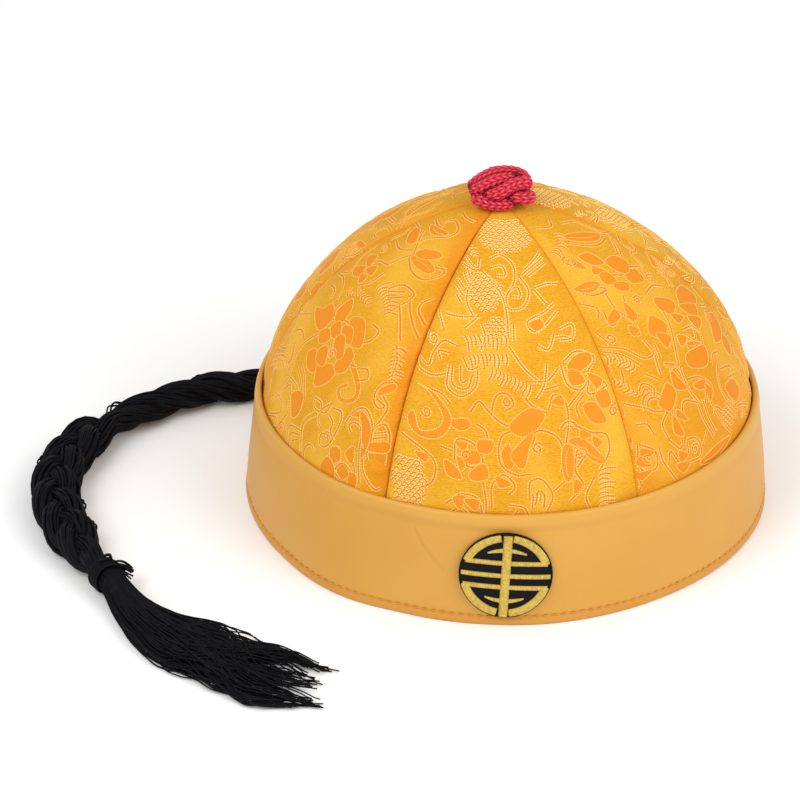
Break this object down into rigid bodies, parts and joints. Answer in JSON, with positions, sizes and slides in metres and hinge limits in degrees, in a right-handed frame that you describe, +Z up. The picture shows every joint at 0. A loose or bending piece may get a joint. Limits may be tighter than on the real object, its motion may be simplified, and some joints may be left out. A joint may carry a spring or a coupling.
{
  "type": "chinese skullcap with a queue",
  "caption": "Round skullcap of sewn brocade gores with a satin band, cord button, round badge and a plaited black queue laid at its side.",
  "frame": {"origin": "on the surface that the hat stands on, at the middle of its band", "axes": "+Z up through the crown, front of the hat with the badge towards -Y, +X to the hat's right in the picture"},
  "size_m": [0.2674, 0.2773, 0.1315],
  "materials": {
    "brocade": "woven silk-like brocade, satin lustre",
    "satin": "plain satin over a stiff layer",
    "button_cord": "knitted cord, matt",
    "badge_cloth": "matt embroidery ground",
    "gold_thread": "lustrous embroidery thread",
    "yarn": "loose black yarn, matt with a faint gloss"
  },
  "bodies": {
    "root": {"crown_gore_1": "brocade", "crown_gore_2": "brocade", "crown_gore_3": "brocade", "crown_gore_4": "brocade", "crown_gore_5": "brocade", "crown_gore_6": "brocade", "band": "satin", "crown_button": "button_cord", "badge_ground": "badge_cloth", "badge_figure": "gold_thread", "queue_root": "yarn", "queue_cord": "yarn", "queue_tie": "yarn", "queue_tassel": "yarn"}
  },
  "joints": []
}
